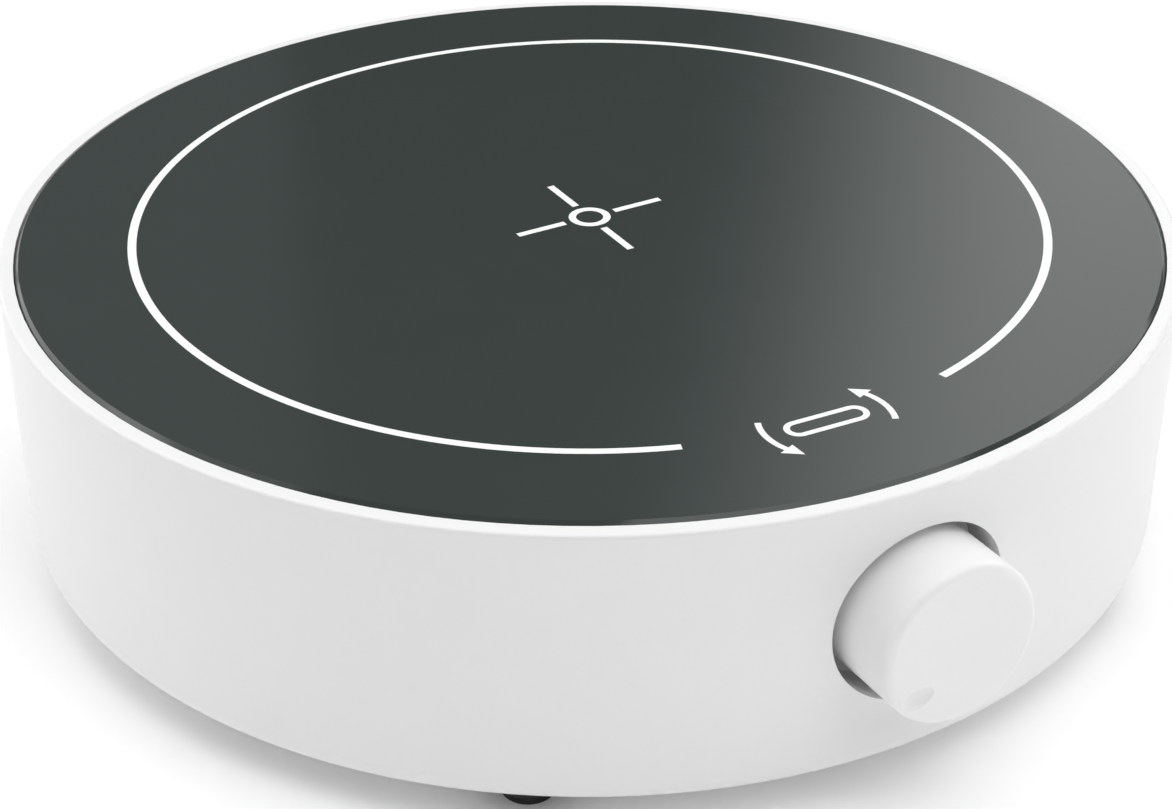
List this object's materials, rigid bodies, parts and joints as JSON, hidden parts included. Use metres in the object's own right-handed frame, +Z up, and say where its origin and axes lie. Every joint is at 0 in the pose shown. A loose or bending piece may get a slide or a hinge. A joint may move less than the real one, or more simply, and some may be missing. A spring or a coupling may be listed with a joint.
{
  "type": "magnetic stirrer",
  "caption": "Slim round magnetic stirrer with a dark glass work plate, white plastic housing, rubber feet, one turning speed knob and a motor that spins a magnet pair.",
  "frame": {"origin": "on the housing's vertical axis, in the plane that the rubber feet stand on", "axes": "+Z up out of the glass work plate, -Y towards the speed knob, +X to the right when facing the knob"},
  "size_m": [0.15, 0.1572, 0.0415],
  "materials": {
    "white_abs": "satin moulded ABS",
    "cover_abs": "fine-textured moulded ABS",
    "knob_abs": "satin moulded ABS",
    "dark_glass": "polished toughened glass, enamelled underneath",
    "foam_tape": "double-sided foam tape",
    "black_rubber": "moulded rubber",
    "zinc_steel": "zinc-plated steel",
    "nickel_steel": "nickel-plated",
    "sintered_bronze": "sintered bronze",
    "ferrite": "pressed ferrite",
    "laminated_steel": "stacked laminations",
    "copper_wire": "enamelled copper wire",
    "nylon": "moulded nylon",
    "carbon": "pressed carbon",
    "tinned_brass": "tin-plated brass",
    "turned_brass": "turned brass",
    "black_plastic": "moulded plastic",
    "circuit_laminate": "solder-masked glass epoxy",
    "red_pvc": "extruded PVC",
    "black_pvc": "extruded PVC",
    "phenolic": "phenolic paper",
    "bare_aluminium": "drawn aluminium"
  },
  "bodies": {
    "base": {"housing": "white_abs", "glass_plate": "dark_glass", "glass_tape": "foam_tape", "bottom_cover": "cover_abs", "cover_screws": "zinc_steel", "foot_front_right": "black_rubber", "foot_rear_right": "black_rubber", "foot_rear_left": "black_rubber", "foot_front_left": "black_rubber", "potentiometer_body": "zinc_steel", "potentiometer_bush": "turned_brass", "potentiometer_washer": "nickel_steel", "potentiometer_nut": "nickel_steel", "potentiometer_track": "phenolic", "potentiometer_pins": "tinned_brass", "control_board": "circuit_laminate", "board_screws": "zinc_steel", "motor_header": "nylon", "power_header": "nylon", "capacitor": "bare_aluminium", "inductor": "ferrite", "inductor_coil": "copper_wire", "regulator": "black_plastic", "heat_sink": "bare_aluminium", "inlet_body": "black_plastic", "inlet_pin": "nickel_steel", "inlet_washer": "nickel_steel", "inlet_nut": "nickel_steel", "inlet_tags": "tinned_brass", "motor_can": "zinc_steel", "motor_end_cap": "nylon", "upper_bush": "sintered_bronze", "lower_bush": "sintered_bronze", "field_magnets": "ferrite", "motor_brushes": "carbon", "motor_terminals": "tinned_brass", "motor_bracket": "zinc_steel", "motor_screws": "zinc_steel", "grommet_left": "black_rubber", "grommet_right": "black_rubber", "bracket_screws": "zinc_steel", "inlet_lead_red": "red_pvc", "inlet_lead_black": "black_pvc", "motor_lead_red": "red_pvc", "motor_lead_black": "black_pvc", "lead_clip": "nylon"},
    "knob": {"speed_knob": "knob_abs", "potentiometer_shaft": "bare_aluminium", "wiper": "black_plastic"},
    "rotor": {"rotor_shaft": "nickel_steel", "armature_core": "laminated_steel", "armature_windings": "copper_wire", "commutator": "turned_brass", "magnet_holder": "black_plastic", "drive_magnet_north": "nickel_steel", "drive_magnet_south": "nickel_steel", "keeper_plate": "zinc_steel", "grub_screw": "zinc_steel"}
  },
  "joints": [
    {"name": "knob_turn", "type": "hinge", "parent": "base", "child": "knob", "pos_m": [0, -0.08, 0.0245], "axis": [0, 1, 0], "range_deg": [0, 262]},
    {"name": "rotor_spin", "type": "hinge", "parent": "base", "child": "rotor", "pos_m": [0, 0, 0.02], "axis": [0, 0, 1], "continuous": true}
  ]
}
